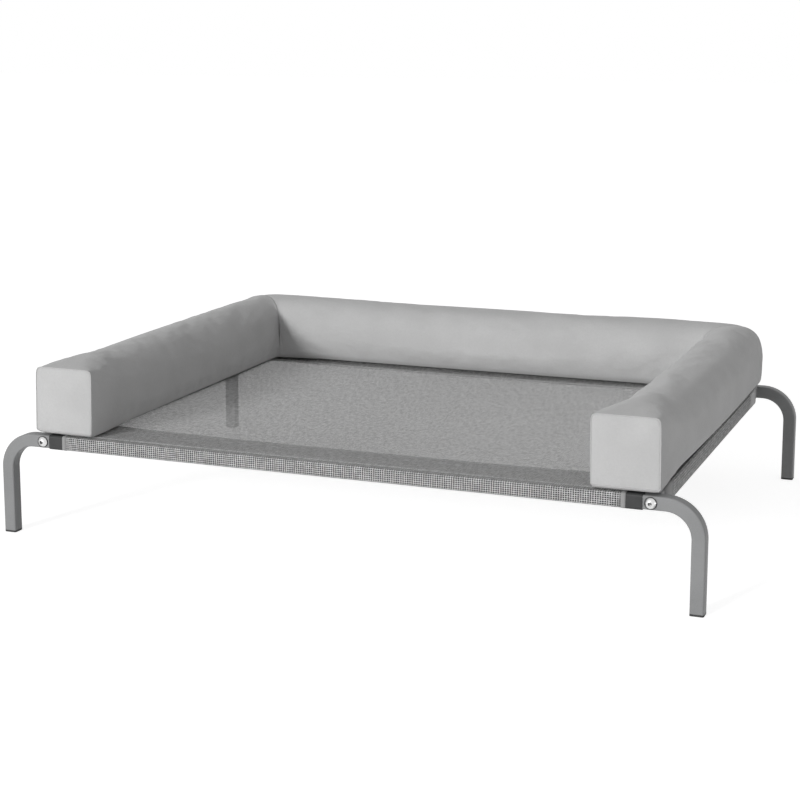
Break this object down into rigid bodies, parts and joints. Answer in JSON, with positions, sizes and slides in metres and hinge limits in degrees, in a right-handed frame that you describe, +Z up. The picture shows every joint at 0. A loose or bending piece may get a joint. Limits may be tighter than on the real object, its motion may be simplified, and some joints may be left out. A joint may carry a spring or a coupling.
{
  "type": "raised dog cot",
  "caption": "Raised dog cot: bent square-tube legs bolted to a rail frame, a stretched mesh deck in sewn sleeves, and a three-sided padded bolster that lifts off.",
  "frame": {"origin": "on the floor, midway between the four feet", "axes": "+X along the length to the right as seen from the open front, +Y from the open front to the back, +Z up"},
  "size_m": [1.11, 0.7962, 0.2765],
  "materials": {
    "painted_tube": "satin grey powder coat",
    "dark_plastic": "matte dark grey moulding",
    "zinc_steel": "bright zinc plate",
    "mesh": "open woven coated yarn",
    "tape": "plain woven binding",
    "bolster_cloth": "short soft pile",
    "foam": "open-cell foam"
  },
  "bodies": {
    "frame": {"leg_front_left": "painted_tube", "foot_front_left": "dark_plastic", "connector_front_left": "dark_plastic", "thread_plug_front_left": "zinc_steel", "leg_front_right": "painted_tube", "foot_front_right": "dark_plastic", "connector_front_right": "dark_plastic", "thread_plug_front_right": "zinc_steel", "leg_back_left": "painted_tube", "foot_back_left": "dark_plastic", "connector_back_left": "dark_plastic", "thread_plug_back_left": "zinc_steel", "leg_back_right": "painted_tube", "foot_back_right": "dark_plastic", "connector_back_right": "dark_plastic", "thread_plug_back_right": "zinc_steel", "front_rail": "painted_tube", "front_sleeve": "mesh", "back_rail": "painted_tube", "back_sleeve": "mesh", "left_rail": "painted_tube", "left_sleeve": "mesh", "right_rail": "painted_tube", "right_sleeve": "mesh", "corner_bolts": "zinc_steel", "bolt_washers": "dark_plastic", "mesh_deck": "mesh", "sleeve_end_tapes": "tape"},
    "bolster": {"bolster_left_cover": "bolster_cloth", "bolster_left_core": "foam", "bolster_back_cover": "bolster_cloth", "bolster_back_core": "foam", "bolster_right_cover": "bolster_cloth", "bolster_right_core": "foam", "bolster_left_end": "bolster_cloth", "bolster_right_end": "bolster_cloth"}
  },
  "joints": [
    {"name": "bolster_lift", "type": "slide", "parent": "frame", "child": "bolster", "axis": [0, 0, 1], "range_m": [0, 0.25]}
  ]
}
